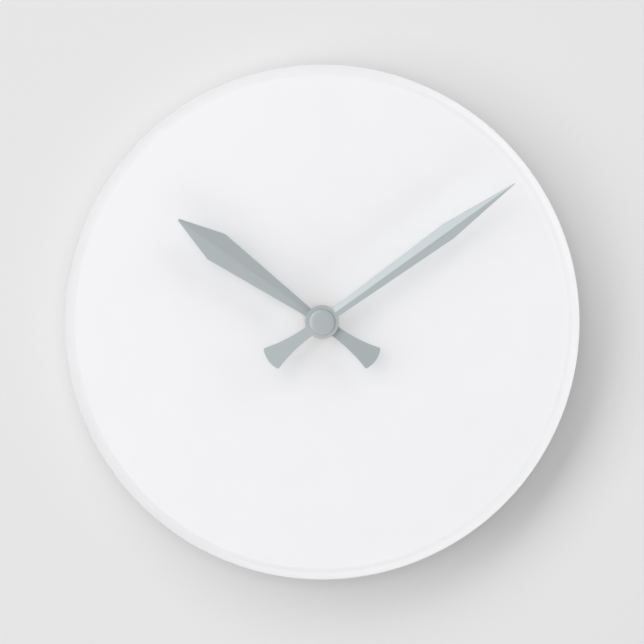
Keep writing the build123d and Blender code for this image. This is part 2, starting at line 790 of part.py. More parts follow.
with BuildPart() as setting_knob:
    with BuildSketch(at_depth(knob_layer[0], setting_at)):
        Circle(knob_radius)
        Circle(setting_arbor_radius, mode=Mode.SUBTRACT)
        with PolarLocations(knob_radius, knob_grooves):
            Circle(knob_groove_radius, mode=Mode.SUBTRACT)
    extrude(amount=knob_layer[1] - knob_layer[0])

# Hour hand on its collet
hour_blade = blade_face(
    hour_neck_half, hour_belly_reach, hour_belly_half,
    hour_reach, hour_tip_half, hour_blade_start,
)
hour_hand = stamped_hand(
    hour_clock_angle, hour_blade, hour_spine, hour_slope, hour_belly_half,
    hour_blade_start, hour_reach, hour_disc_radius, hour_hole_radius,
)

with BuildPart() as hour_hand_collet:
    round_step(hub_at, collet_radius, (collet_start, hour_flat))
    round_step(hub_at, hour_hole_radius, (hour_flat, hour_flat + sheet + collet_lip))
    round_step(hub_at, hour_tube_radius, (collet_start, hour_flat + sheet + collet_lip), Mode.SUBTRACT)

# Minute hand, clamped between its hub and the cap
minute_blade = blade_face(
    minute_neck_half, minute_belly_reach, minute_belly_half,
    minute_reach, minute_tip_half, minute_blade_start,
)
minute_hand = stamped_hand(
    minute_clock_angle, minute_blade, minute_spine, minute_slope, minute_belly_half,
    minute_blade_start, minute_reach, minute_disc_radius, minute_tube_radius,
)

minute_hand_hub = ring(hub_radius, minute_tube_radius, (minute_flat - hub_height, minute_flat))

with BuildPart() as cap_nut:
    round_step(hub_at, cap_radius, (cap_back, cap_back + cap_height))
    chamfer(cap_nut.faces().sort_by(Axis.Y)[0].edges(), cap_bevel)
    round_step(hub_at, minute_tube_radius, (cap_back, minute_tube_end + cap_socket_gap), Mode.SUBTRACT)

os.makedirs("parts", exist_ok=True)
pieces = {
    "dial_plate": dial_plate,
    "front_case": front_case,
    "rear_cover": rear_cover,
    "centre_bushing": centre_bushing,
    "rubber_washer": rubber_washer,
    "flat_washer": flat_washer,
    "hex_nut": hex_nut,
    "middle_plate": middle_plate,
    "stator_plate": stator_plate,
    "coil_core": coil_core,
    "coil_bobbin": coil_bobbin,
    "coil_winding": coil_winding,
    "circuit_board": circuit_board,
    "ic_chip": ic_chip,
    "quartz_crystal": quartz_crystal,
    "positive_contact": positive_contact,
    "negative_contact": negative_contact,
    "battery_can": battery_can,
    "battery_wrap": battery_wrap,
    "rotor_pinion": rotor_pinion,
    "rotor_magnet": rotor_magnet,
    "intermediate_wheel": intermediate_wheel,
    "seconds_wheel": seconds_wheel,
    "seconds_shaft": seconds_shaft,
    "third_wheel": third_wheel,
    "minute_arbor": minute_arbor,
    "centre_wheel": centre_wheel,
    "clutch_spring": clutch_spring,
    "motion_wheel": motion_wheel,
    "hour_wheel": hour_wheel,
    "setting_arbor": setting_arbor,
    "setting_knob": setting_knob,
    "hour_hand": hour_hand,
    "hour_hand_collet": hour_hand_collet,
    "minute_hand": minute_hand,
    "minute_hand_hub": minute_hand_hub,
    "cap_nut": cap_nut,
}
for name, piece in pieces.items():
    piece.part.label = name
    export_step(piece.part, f"parts/{name}.step")
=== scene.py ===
import json
import math

import bmesh
import bpy
from mathutils import Matrix, Vector


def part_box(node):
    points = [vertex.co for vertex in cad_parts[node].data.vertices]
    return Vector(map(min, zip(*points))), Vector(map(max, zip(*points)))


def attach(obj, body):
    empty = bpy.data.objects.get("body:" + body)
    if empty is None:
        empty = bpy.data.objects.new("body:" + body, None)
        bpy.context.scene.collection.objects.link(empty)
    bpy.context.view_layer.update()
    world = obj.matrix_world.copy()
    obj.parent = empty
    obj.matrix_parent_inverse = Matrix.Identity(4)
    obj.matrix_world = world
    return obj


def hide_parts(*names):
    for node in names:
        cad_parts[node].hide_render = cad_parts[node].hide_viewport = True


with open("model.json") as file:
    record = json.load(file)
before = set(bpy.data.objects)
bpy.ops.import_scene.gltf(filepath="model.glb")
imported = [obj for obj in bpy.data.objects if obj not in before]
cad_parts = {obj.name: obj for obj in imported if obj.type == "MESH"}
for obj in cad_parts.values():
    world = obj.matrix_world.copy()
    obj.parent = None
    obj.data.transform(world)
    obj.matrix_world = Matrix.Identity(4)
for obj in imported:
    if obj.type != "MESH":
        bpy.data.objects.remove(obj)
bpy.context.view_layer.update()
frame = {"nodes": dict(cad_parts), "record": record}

nodes = frame["nodes"]
mm = 0.001
weldGap = 0.002 * mm      # corners this near to each other are one point
ringSlack = 0.01 * mm     # how near a vertex lies to the ring that it belongs to
flatAngle = math.radians(0.5)    # neighbouring faces that turn less are one flat


# node helpers for the materials; every pattern is laid out in metres on Object coordinates

def newFinish(name, colour, roughness, metallic=0.0):
    finish = bpy.data.materials.new(name)
    finish.use_nodes = True
    shader = finish.node_tree.nodes["Principled BSDF"]
    shader.inputs["Base Color"].default_value = (*colour, 1.0)
    shader.inputs["Roughness"].default_value = roughness
    shader.inputs["Metallic"].default_value = metallic
    return finish, shader


def addNode(finish, kind, values=None, **settings):
    node = finish.node_tree.nodes.new(kind)
    for setting, value in settings.items():
        setattr(node, setting, value)
    for socket, value in (values or {}).items():
        node.inputs[socket].default_value = value
    return node


def wire(finish, outSocket, inSocket):
    finish.node_tree.links.new(outSocket, inSocket)


def objectPlace(finish, grain, turn=(0.0, 0.0, 0.0), at=(0.0, 0.0, 0.0)):
    # grain is the size of the pattern along each axis, after it is moved and turned
    coords = addNode(finish, "ShaderNodeTexCoord")
    place = addNode(finish, "ShaderNodeMapping", {"Location": at, "Rotation": turn, "Scale": grain},
                    vector_type="TEXTURE")
    wire(finish, coords.outputs["Object"], place.inputs["Vector"])
    return place.outputs["Vector"]


def noise(finish, grain, detail=3.0, turn=(0.0, 0.0, 0.0)):
    pattern = addNode(finish, "ShaderNodeTexNoise", {"Scale": 1.0, "Detail": detail})
    wire(finish, objectPlace(finish, grain, turn), pattern.inputs["Vector"])
    return pattern.outputs["Fac"]


def spread(finish, pattern, low, high, start=0.3, end=0.7):
    ramp = addNode(finish, "ShaderNodeMapRange",
                   {"From Min": start, "From Max": end, "To Min": low, "To Max": high})
    wire(finish, pattern, ramp.inputs["Value"])
    return ramp.outputs["Result"]


def tint(finish, shader, pattern, darker, lighter, start=0.3, end=0.7):
    ramp = addNode(finish, "ShaderNodeValToRGB")
    ramp.color_ramp.elements[0].position = start
    ramp.color_ramp.elements[0].color = (*darker, 1.0)
    ramp.color_ramp.elements[1].position = end
    ramp.color_ramp.elements[1].color = (*lighter, 1.0)
    wire(finish, pattern, ramp.inputs["Fac"])
    wire(finish, ramp.outputs["Color"], shader.inputs["Base Color"])


def relief(finish, shader, pattern, height, strength=1.0):
    bump = addNode(finish, "ShaderNodeBump", {"Strength": strength, "Distance": height})
    wire(finish, pattern, bump.inputs["Height"])
    wire(finish, bump.outputs["Normal"], shader.inputs["Normal"])


def shades(colour, change):
    return [tuple(channel * (1.0 + sign * change) for channel in colour) for sign in (-1, 1)]


def cube(size):
    return (size, size, size)


# polished white acrylic: faint haze in the gloss and a trace of cast unevenness
acrylic = {"colour": (0.85, 0.85, 0.862), "rough": (0.37, 0.39), "ior": 1.49, "glow": 2.5 * mm,
           "cloud": 60 * mm, "cloudShade": 0.006, "haze": 9 * mm, "wave": 22 * mm,
           "waveHeight": 0.004 * mm}


def whiteAcrylic():
    finish, shader = newFinish("white_acrylic", acrylic["colour"], acrylic["rough"][0])
    shader.inputs["IOR"].default_value = acrylic["ior"]
    shader.subsurface_method = "RANDOM_WALK"    # light spreads sideways in the sheet before it leaves
    shader.inputs["Subsurface Weight"].default_value = 1.0
    shader.inputs["Subsurface Radius"].default_value = (1.0, 1.0, 1.0)
    shader.inputs["Subsurface Scale"].default_value = acrylic["glow"]
    cloud = noise(finish, cube(acrylic["cloud"]), detail=2.0)
    tint(finish, shader, cloud, *shades(acrylic["colour"], acrylic["cloudShade"]))
    haze = noise(finish, cube(acrylic["haze"]), detail=5.0)
    wire(finish, spread(finish, haze, *acrylic["rough"]), shader.inputs["Roughness"])
    wave = noise(finish, cube(acrylic["wave"]), detail=1.0)
    relief(finish, shader, wave, acrylic["waveHeight"])
    return finish


# satin silver paint on stamped sheet, with brush lines along the hand
silver = {"rough": (0.34, 0.42), "metal": 0.5, "brush": (9 * mm, 0.09 * mm, 0.09 * mm),
          "brushShade": 0.035, "brushHeight": 0.003 * mm, "turnedColour": (0.463, 0.508, 0.523),
          "ring": 1.4 * mm, "ringWaver": 0.6, "ringHeight": 0.001 * mm, "grain": 0.3 * mm,
          "grainShade": 0.025}


def satinSilver(name, colour, clockAngle):
    finish, shader = newFinish(name, colour, silver["rough"][0], silver["metal"])
    along = (0.0, clockAngle - math.pi / 2, 0.0)
    brushed = noise(finish, silver["brush"], detail=4.0, turn=along)
    tint(finish, shader, brushed, *shades(colour, silver["brushShade"]))
    wire(finish, spread(finish, brushed, *silver["rough"]), shader.inputs["Roughness"])
    relief(finish, shader, brushed, silver["brushHeight"])
    return finish


# the hub and the cap are turned, so their lines run round the axis
def turnedSilver():
    finish, shader = newFinish("turned_silver", silver["turnedColour"], silver["rough"][0], silver["metal"])
    rings = addNode(finish, "ShaderNodeTexWave", {"Scale": 1.0, "Distortion": silver["ringWaver"]},
                    wave_type="RINGS", rings_direction="Y")
    wire(finish, objectPlace(finish, cube(silver["ring"])), rings.inputs["Vector"])
    grain = noise(finish, cube(silver["grain"]), detail=3.0)
    tint(finish, shader, grain, *shades(silver["turnedColour"], silver["grainShade"]))
    wire(finish, spread(finish, rings.outputs["Fac"], *silver["rough"], start=0.0, end=1.0),
         shader.inputs["Roughness"])
    relief(finish, shader, rings.outputs["Fac"], silver["ringHeight"])
    return finish


# moulded pieces: cloudy colour and a spark-eroded grain, finer or coarser by material
mould = {"cloud": 14 * mm, "cloudShade": 0.08}


def moulding(name, colour, roughLow, roughHigh, grain=0.25 * mm, depth=0.012 * mm):
    finish, shader = newFinish(name, colour, roughLow)
    cloud = noise(finish, cube(mould["cloud"]), detail=3.0)
    tint(finish, shader, cloud, *shades(colour, mould["cloudShade"]))
    eroded = noise(finish, cube(grain), detail=4.0)
    wire(finish, spread(finish, eroded, roughLow, roughHigh), shader.inputs["Roughness"])
    relief(finish, shader, eroded, depth)
    return finish


# metal with fine random scratches along one axis
scratch = {"size": (3 * mm, 0.12 * mm, 0.12 * mm), "height": 0.003 * mm, "patch": 2.5 * mm,
           "patchShade": 0.07}


def scratchedMetal(name, colour, roughLow, roughHigh):
    finish, shader = newFinish(name, colour, roughLow, metallic=1.0)
    lines = noise(finish, scratch["size"], detail=4.0)
    patches = noise(finish, cube(scratch["patch"]), detail=4.0)
    tint(finish, shader, patches, *shades(colour, scratch["patchShade"]))
    wire(finish, spread(finish, lines, roughLow, roughHigh), shader.inputs["Roughness"])
    relief(finish, shader, lines, scratch["height"])
    return finish


# one finish for each material slot; the sleeve of the cell adds its own further on
finishes = {
    "white_acrylic": whiteAcrylic(),
    "black_moulding": moulding("black_moulding", (0.035, 0.035, 0.038), 0.38, 0.52),
    "white_moulding": moulding("white_moulding", (0.78, 0.78, 0.75), 0.35, 0.48),
    "black_rubber": moulding("black_rubber", (0.012, 0.012, 0.012), 0.70, 0.88, 0.12 * mm, 0.02 * mm),
    "green_board": moulding("green_board", (0.02, 0.16, 0.06), 0.30, 0.42, 0.6 * mm),
    "black_epoxy": moulding("black_epoxy", (0.01, 0.01, 0.01), 0.18, 0.30, 1.2 * mm),
    "ferrite": moulding("ferrite", (0.05, 0.048, 0.046), 0.55, 0.70, 0.1 * mm),
    "brass": scratchedMetal("brass", (0.66, 0.54, 0.34), 0.24, 0.38),
    "zinc_steel": scratchedMetal("zinc_steel", (0.58, 0.59, 0.60), 0.28, 0.42),
    "motor_steel": scratchedMetal("motor_steel", (0.46, 0.46, 0.47), 0.38, 0.52),
    "nickel_strip": scratchedMetal("nickel_strip", (0.66, 0.63, 0.58), 0.22, 0.34),
    "copper_wire": scratchedMetal("copper_wire", (0.72, 0.30, 0.13), 0.25, 0.40),
    "cell_steel": scratchedMetal("cell_steel", (0.62, 0.62, 0.61), 0.20, 0.32),
    "silver_hand": turnedSilver(),
}
print("finishes:", len(finishes))


# modelling helpers

def lathe(outline, steps, closed=True):
    # outline is (radius, depth from the wall); the piece turns about the hand axis
    bm = bmesh.new()
    points = [bm.verts.new((radius, -depth, 0.0)) for radius, depth in outline]
    following = points[1:] + points[:1] if closed else points[1:]
    for first, second in zip(points, following):
        bm.edges.new((first, second))
    bmesh.ops.spin(bm, geom=bm.verts[:] + bm.edges[:], cent=(0, 0, 0), axis=(0, 1, 0),
                   angle=2 * math.pi, steps=steps, use_merge=True)
    bmesh.ops.remove_doubles(bm, verts=bm.verts[:], dist=weldGap)
    bmesh.ops.recalc_face_normals(bm, faces=bm.faces[:])
    return bm


def joinTurned(bm, outline, steps):
    # a turned solid is added to a piece that is being made
    turned = lathe(outline, steps)
    spare = bpy.data.meshes.new("spare")
    turned.to_mesh(spare)
    turned.free()
    bm.from_mesh(spare)
    bpy.data.meshes.remove(spare)


def ringEdges(bm, radius, depth):
    def onRing(vertex):
        out = math.hypot(vertex.co.x, vertex.co.z)
        return abs(out - radius) < ringSlack and abs(vertex.co.y + depth) < ringSlack
    return [edge for edge in bm.edges if onRing(edge.verts[0]) and onRing(edge.verts[1])]


def roundOff(bm, edges, width, segments):
    bmesh.ops.bevel(bm, geom=edges, offset=width, offset_type="OFFSET", segments=segments,
                    profile=0.5, affect="EDGES", clamp_overlap=True, material=-1)


def helix(bm, section, pitch, turns, steps):
    # one turn is spun about the hand axis, then repeated and welded
    edges = list({edge for vertex in section for edge in vertex.link_edges})
    bmesh.ops.spin(bm, geom=section + edges, cent=(0, 0, 0), axis=(0, -1, 0), angle=2 * math.pi,
                   dvec=(0.0, -pitch / steps, 0.0), steps=steps)
    firstTurn = bm.verts[:] + bm.edges[:] + bm.faces[:]
    for count in range(1, turns):
        copied = bmesh.ops.duplicate(bm, geom=firstTurn)["geom"]
        corners = [part for part in copied if isinstance(part, bmesh.types.BMVert)]
        bmesh.ops.translate(bm, verts=corners, vec=(0.0, -count * pitch, 0.0))
    bmesh.ops.remove_doubles(bm, verts=bm.verts[:], dist=weldGap)


def layAcross(bm, place):
    # a turned piece is laid along X, so that its depths become lengths
    bmesh.ops.rotate(bm, verts=bm.verts[:], cent=(0, 0, 0), matrix=Matrix.Rotation(math.pi / 2, 3, "Z"))
    bmesh.ops.translate(bm, verts=bm.verts[:], vec=(0.0, place.y, place.z))


def mergedCopy(nodeName):
    bm = bmesh.new()
    bm.from_mesh(nodes[nodeName].data)
    bmesh.ops.remove_doubles(bm, verts=bm.verts[:], dist=weldGap)
    bmesh.ops.dissolve_limit(bm, angle_limit=flatAngle, verts=bm.verts[:], edges=bm.edges[:])
    return bm


def breakEdges(bm, width, segments=2, sharpAngle=25, chosen=None):
    sharp = [edge for edge in bm.edges if edge.calc_face_angle(0.0) > math.radians(sharpAngle)]
    if chosen:
        sharp = [edge for edge in sharp if chosen(edge.verts[0]) and chosen(edge.verts[1])]
    roundOff(bm, sharp, width, segments)


def softCopy(nodeName, width, segments=2, sharpAngle=25):
    # a solid's own mesh, merged, with its sharp edges broken
    bm = mergedCopy(nodeName)
    breakEdges(bm, width, segments, sharpAngle)
    return bm


def finishPiece(name, bm, body, slotName, *replaced, finish=None):
    # a piece has its slot's finish, unless it is given one of its own
    mesh = bpy.data.meshes.new(name)
    bm.to_mesh(mesh)
    bm.free()
    mesh.materials.append(finish or finishes[slotName])
    mesh.shade_smooth()
    piece = bpy.data.objects.new(name, mesh)
    bpy.context.scene.collection.objects.link(piece)
    normals = piece.modifiers.new("flat faces stay flat", "WEIGHTED_NORMAL")
    normals.keep_sharp = True
    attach(piece, body)
    if replaced:
        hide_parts(*replaced)
    return piece


# dial disc: its front edge slopes down from the face and is rounded at both ends
dial = {"slopeWide": 3.1 * mm, "slopeDeep": 2.6 * mm, "innerRound": 1.6 * mm, "outerRound": 0.7 * mm,
        "roundSteps": 10, "backRound": 0.5 * mm, "backSteps": 4, "holeRoom": 0.15 * mm,
        "holeBreak": 0.2 * mm, "holeSteps": 2, "turns": 288}
dialLow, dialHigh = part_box("dial_plate")
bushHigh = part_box("centre_bushing")[1]
dialHole = bushHigh.x + dial["holeRoom"]
dialBack, dialFront = -dialHigh.y, -dialLow.y
slopeTop = dialHigh.x - dial["slopeWide"]
slopeFoot = dialFront - dial["slopeDeep"]
bm = lathe([(dialHole, dialBack), (dialHigh.x, dialBack), (dialHigh.x, slopeFoot), (slopeTop, dialFront),
            (dialHole, dialFront)], dial["turns"])
roundOff(bm, ringEdges(bm, slopeTop, dialFront), dial["innerRound"], dial["roundSteps"])
roundOff(bm, ringEdges(bm, dialHigh.x, slopeFoot), dial["outerRound"], dial["roundSteps"])
roundOff(bm, ringEdges(bm, dialHigh.x, dialBack), dial["backRound"], dial["backSteps"])
holeEdges = ringEdges(bm, dialHole, dialFront) + ringEdges(bm, dialHole, dialBack)
roundOff(bm, holeEdges, dial["holeBreak"], dial["holeSteps"])
dialObject = finishPiece("dial_disc", bm, "movement", "white_acrylic", "dial_plate")
print("dial disc turned")

# hands, with angles in degrees: the blade may be folded more than its solid,
# and edges steeper than the sharp angle are broken
hands = {
    "minute_hand": {"body": "minute_group", "clock": 54.3, "moreFold": 0.0, "sharp": 8,
                    "colour": (0.487, 0.532, 0.548)},
    # the hour hand's silver is set darker than the minute hand's
    "hour_hand": {"body": "hour_group", "clock": -54.5, "moreFold": 0.03, "sharp": 80,
                  "colour": (0.435, 0.477, 0.49)},
}
handEdge = {"width": 0.05 * mm, "segments": 2, "bladeStart": 4.5 * mm}
spine = {"shallow": 4, "steep": 20, "length": 3 * mm}
for handName, hand in hands.items():
    clockAngle = math.radians(hand["clock"])
    bm = softCopy(handName, handEdge["width"], handEdge["segments"], hand["sharp"])
    bmesh.ops.remove_doubles(bm, verts=bm.verts[:], dist=weldGap)
    for vertex in bm.verts:
        along = vertex.co.x * math.sin(clockAngle) + vertex.co.z * math.cos(clockAngle)
        across = vertex.co.x * math.cos(clockAngle) - vertex.co.z * math.sin(clockAngle)
        if along > handEdge["bladeStart"]:
            vertex.co.y += hand["moreFold"] * abs(across)
    for edge in bm.edges:
        fold = math.degrees(edge.calc_face_angle(0.0))
        if spine["shallow"] < fold < spine["steep"] and edge.calc_length() > spine["length"]:
            for flank in edge.link_faces:
                for border in flank.edges:
                    border.smooth = False    # the flanks stay flat and the spine crisp
    brushedFinish = satinSilver(handName + "_silver", hand["colour"], clockAngle)
    finishPiece(handName + "_blade", bm, hand["body"], "silver_hand", handName, finish=brushedFinish)
print("hands softened")

# cap and hub of the minute hand, and the collet under the hour hand
cap = {"bore": 1.6 * mm, "socket": 0.6 * mm, "crown": 0.05 * mm, "crownAt": 0.6, "crownLeft": 0.2,
       "edge": 0.28 * mm, "edgeSteps": 3, "backEdge": 0.08 * mm, "backSteps": 2, "turns": 128}
capLow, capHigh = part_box("cap_nut")
capBack, capFront = -capHigh.y, -capLow.y
bm = lathe([(cap["bore"], capBack), (capHigh.x, capBack), (capHigh.x, capFront - cap["crown"]),
            (capHigh.x * cap["crownAt"], capFront - cap["crownLeft"] * cap["crown"]), (0.0, capFront),
            (0.0, capBack + cap["socket"]), (cap["bore"], capBack + cap["socket"])], cap["turns"])
roundOff(bm, ringEdges(bm, capHigh.x, capFront - cap["crown"]), cap["edge"], cap["edgeSteps"])
roundOff(bm, ringEdges(bm, capHigh.x, capBack), cap["backEdge"], cap["backSteps"])
finishPiece("hub_cap", bm, "minute_group", "silver_hand", "cap_nut")

hub = {"outerEdge": 0.24 * mm, "outerSteps": 3, "boreEdge": 0.12 * mm, "boreSteps": 2, "turns": 96}
hubLow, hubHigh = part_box("minute_hand_hub")
hubBack, hubFront = -hubHigh.y, -hubLow.y
bm = lathe([(cap["bore"], hubBack), (hubHigh.x, hubBack), (hubHigh.x, hubFront), (cap["bore"], hubFront)],
           hub["turns"])
roundOff(bm, ringEdges(bm, hubHigh.x, hubBack), hub["outerEdge"], hub["outerSteps"])
roundOff(bm, ringEdges(bm, cap["bore"], hubBack), hub["boreEdge"], hub["boreSteps"])
finishPiece("minute_hub", bm, "minute_group", "silver_hand", "minute_hand_hub")

collet = {"bore": 2.5 * mm, "neck": 3.0 * mm, "neckHeight": 0.9 * mm, "outerEdge": 0.24 * mm,
          "outerSteps": 3, "boreEdge": 0.12 * mm, "boreSteps": 2, "turns": 96}
colletLow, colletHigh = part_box("hour_hand_collet")
colletBack, colletFront = -colletHigh.y, -colletLow.y
shoulder = colletFront - collet["neckHeight"]
bm = lathe([(collet["bore"], colletBack), (colletHigh.x, colletBack), (colletHigh.x, shoulder),
            (collet["neck"], shoulder), (collet["neck"], colletFront), (collet["bore"], colletFront)],
           collet["turns"])
roundOff(bm, ringEdges(bm, colletHigh.x, colletBack), collet["outerEdge"], collet["outerSteps"])
roundOff(bm, ringEdges(bm, collet["neck"], colletFront), collet["outerEdge"], collet["outerSteps"])
boreEnds = ringEdges(bm, collet["bore"], colletBack) + ringEdges(bm, collet["bore"], colletFront)
roundOff(bm, boreEnds, collet["boreEdge"], collet["boreSteps"])
finishPiece("hour_collet", bm, "hour_group", "zinc_steel", "hour_hand_collet")
print("cap, hub and collet turned")

# clamping stack: threaded bushing, washers and hexagon nut
thread = {"pitch": 0.75 * mm, "depth": 0.34 * mm, "bore": 2.56 * mm, "turnSteps": 40, "boreSteps": 80,
          "spareTurns": 2}


def threadedBushing():
    low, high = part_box("centre_bushing")
    back, front = -high.y, -low.y
    crest, root = high.x, high.x - thread["depth"]
    turns = math.ceil((front - back) / thread["pitch"]) + thread["spareTurns"]    # both ends are cut off
    bm = bmesh.new()
    start = back - thread["pitch"]
    ridge = [bm.verts.new((radius, -depth, 0.0)) for radius, depth in
             ((root, start), (crest, start + thread["pitch"] / 2), (root, start + thread["pitch"]))]
    for pair in zip(ridge, ridge[1:]):
        bm.edges.new(pair)
    helix(bm, ridge, thread["pitch"], turns, thread["turnSteps"])
    for depth, side in ((back, 1.0), (front, -1.0)):
        bmesh.ops.bisect_plane(bm, geom=bm.verts[:] + bm.edges[:] + bm.faces[:], dist=weldGap,
                               plane_co=(0.0, -depth, 0.0), plane_no=(0.0, side, 0.0), clear_outer=True)
    outerEnds = [edge for edge in bm.edges if edge.is_boundary]
    bore = bmesh.ops.create_circle(bm, segments=thread["boreSteps"], radius=thread["bore"])["verts"]
    bmesh.ops.rotate(bm, verts=bore, cent=(0, 0, 0), matrix=Matrix.Rotation(math.pi / 2, 3, "X"))
    bmesh.ops.translate(bm, verts=bore, vec=(0.0, -back, 0.0))
    boreEdges = list({edge for vertex in bore for edge in vertex.link_edges})
    tube = bmesh.ops.extrude_edge_only(bm, edges=boreEdges)["geom"]
    boreFront = [part for part in tube if isinstance(part, bmesh.types.BMVert)]
    bmesh.ops.translate(bm, verts=boreFront, vec=(0.0, back - front, 0.0))
    boreFrontEdges = [part for part in tube if isinstance(part, bmesh.types.BMEdge) and part.is_boundary]
    for depth, ringHere in ((back, boreEdges), (front, boreFrontEdges)):
        loop = [edge for edge in outerEnds
                if all(abs(vertex.co.y + depth) < ringSlack for vertex in edge.verts)]
        bmesh.ops.bridge_loops(bm, edges=loop + ringHere)
    bmesh.ops.recalc_face_normals(bm, faces=bm.faces[:])
    return bm


finishPiece("threaded_bushing", threadedBushing(), "movement", "brass", "centre_bushing")

washers = {
    "rubber_washer": {"slot": "black_rubber", "edge": 0.38 * mm, "steps": 5, "turns": 160},
    "flat_washer": {"slot": "brass", "edge": 0.12 * mm, "steps": 3, "turns": 160},
}
for nodeName, washer in washers.items():
    low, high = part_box(nodeName)
    back, front = -high.y, -low.y
    bm = lathe([(bushHigh.x, back), (high.x, back), (high.x, front), (bushHigh.x, front)], washer["turns"])
    outerEdges = ringEdges(bm, high.x, back) + ringEdges(bm, high.x, front)
    roundOff(bm, outerEdges, washer["edge"], washer["steps"])
    finishPiece(nodeName + "_ring", bm, "movement", washer["slot"], nodeName)

nut = {"edge": 0.16 * mm, "segments": 3, "sharp": 28}
bm = softCopy("hex_nut", nut["edge"], nut["segments"], nut["sharp"])
finishPiece("clamping_nut", bm, "movement", "brass", "hex_nut")
print("clamping stack in place")

# movement case: outer edges broken, so that the parting line shows
case = {"core": 25.0 * mm, "skin": 2.8 * mm, "edge": 0.28 * mm, "segments": 3, "sharp": 30}


def onSkin(vertex):
    over = [max(abs(value) - case["core"], 0.0) for value in (vertex.co.x, vertex.co.z)]
    return math.hypot(*over) > case["skin"]


bm = mergedCopy("front_case")
breakEdges(bm, case["edge"], case["segments"], case["sharp"], onSkin)
finishPiece("case_front_half", bm, "movement", "black_moulding", "front_case")

# rear half: a sunk panel with a raised rim, above the battery bay
panel = {"low": -11.2 * mm, "rim": 0.8 * mm, "draft": 0.12 * mm, "sunk": 0.45 * mm, "edge": 0.1 * mm,
         "segments": 2, "sharp": 30, "reach": 1.0 * mm, "facing": 0.99}


def nearBack(vertex):
    return vertex.co.y > -panel["reach"] or onSkin(vertex)


bm = mergedCopy("rear_cover")
bmesh.ops.bisect_plane(bm, geom=bm.verts[:] + bm.edges[:] + bm.faces[:], dist=weldGap,
                       plane_co=(0.0, 0.0, panel["low"]), plane_no=(0.0, 0.0, 1.0))
backFaces = [face for face in bm.faces
             if face.normal.y > panel["facing"] and face.calc_center_median().y > -ringSlack
             and face.calc_center_median().z > panel["low"]]
for thickness, sunk in ((panel["rim"], 0.0), (panel["draft"], -panel["sunk"])):
    bmesh.ops.inset_region(bm, faces=backFaces, thickness=thickness, depth=sunk,
                           use_boundary=True, use_even_offset=True)
breakEdges(bm, panel["edge"], panel["segments"], panel["sharp"], nearBack)
finishPiece("case_rear_half", bm, "movement", "black_moulding", "rear_cover")
print("case halves softened")

# raised signs on the panel: poles of the cell and the turning way of the knob
signs = {"cell": 0.8 * mm, "height": 0.34 * mm, "edge": 0.06 * mm, "segments": 2, "sharp": 40,
         "poleX": 23.8 * mm, "poleZ": -7.4 * mm, "arrowRadius": 7.0 * mm, "arrowWide": 0.7 * mm,
         "arrowStart": math.radians(40), "arrowSweep": math.radians(95), "arrowSteps": 24,
         "headSize": 1.19 * mm, "headAhead": 0.84 * mm}
knobLow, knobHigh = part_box("setting_knob")
knobCentre = (knobLow + knobHigh) / 2


def standOnPanel(bm, place):
    # flat faces in the dial's plane are raised from the sunk floor towards the wall
    raised = bmesh.ops.extrude_face_region(bm, geom=bm.faces[:])["geom"]
    tops = [part for part in raised if isinstance(part, bmesh.types.BMVert)]
    bmesh.ops.translate(bm, verts=tops, vec=(0.0, signs["height"], 0.0))
    bmesh.ops.translate(bm, verts=bm.verts[:], vec=(place[0], -panel["sunk"], place[1]))
    bmesh.ops.recalc_face_normals(bm, faces=bm.faces[:])
    breakEdges(bm, signs["edge"], signs["segments"], signs["sharp"])


def poleSign(upright):
    bm = bmesh.new()
    bmesh.ops.create_grid(bm, x_segments=3, y_segments=3, size=1.5 * signs["cell"])
    spare = [face for face in bm.faces if abs(face.calc_center_median().y) > 0.5 * signs["cell"]
             and (not upright or abs(face.calc_center_median().x) > 0.5 * signs["cell"])]
    bmesh.ops.delete(bm, geom=spare, context="FACES")
    bmesh.ops.rotate(bm, verts=bm.verts[:], cent=(0, 0, 0), matrix=Matrix.Rotation(math.pi / 2, 3, "X"))
    return bm


for signName, upright, side in (("plus_sign", True, 1.0), ("minus_sign", False, -1.0)):
    bm = poleSign(upright)
    standOnPanel(bm, (side * signs["poleX"], signs["poleZ"]))
    finishPiece(signName, bm, "movement", "black_moulding")

bm = bmesh.new()
arcEnds = [bm.verts.new((signs["arrowRadius"] + side * signs["arrowWide"] / 2, 0.0, 0.0))
           for side in (-1, 1)]
arcEdge = bm.edges.new(arcEnds)
bmesh.ops.rotate(bm, verts=arcEnds, cent=(0, 0, 0), matrix=Matrix.Rotation(-signs["arrowStart"], 3, "Y"))
bmesh.ops.spin(bm, geom=arcEnds + [arcEdge], cent=(0, 0, 0), axis=(0, -1, 0), angle=signs["arrowSweep"],
               steps=signs["arrowSteps"])
head = bmesh.ops.create_circle(bm, cap_ends=True, segments=3, radius=signs["headSize"])["verts"]
bmesh.ops.rotate(bm, verts=head, cent=(0, 0, 0), matrix=Matrix.Rotation(math.pi / 2, 3, "X"))
headTurn = signs["arrowStart"] + signs["arrowSweep"]
bmesh.ops.translate(bm, verts=head, vec=(signs["arrowRadius"], 0.0, signs["headAhead"]))
bmesh.ops.rotate(bm, verts=head, cent=(0, 0, 0), matrix=Matrix.Rotation(-headTurn, 3, "Y"))
standOnPanel(bm, (knobCentre.x, knobCentre.z))
finishPiece("turn_arrow", bm, "movement", "black_moulding")
print("signs raised on the rear panel")

# snap clips that hold the case halves together
clip = {"wide": 6.0 * mm, "thick": 0.9 * mm, "rear": 5.5 * mm, "front": 14.0 * mm, "frameWide": 1.3 * mm,
        "heights": (-4.0 * mm, 14.0 * mm), "edge": 0.16 * mm, "segments": 2, "sharp": 40}
catchBlock = {"thick": 0.75 * mm, "gap": 0.3 * mm, "long": 0.45, "lead": 0.8, "back": 0.2}
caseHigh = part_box("front_case")[1]


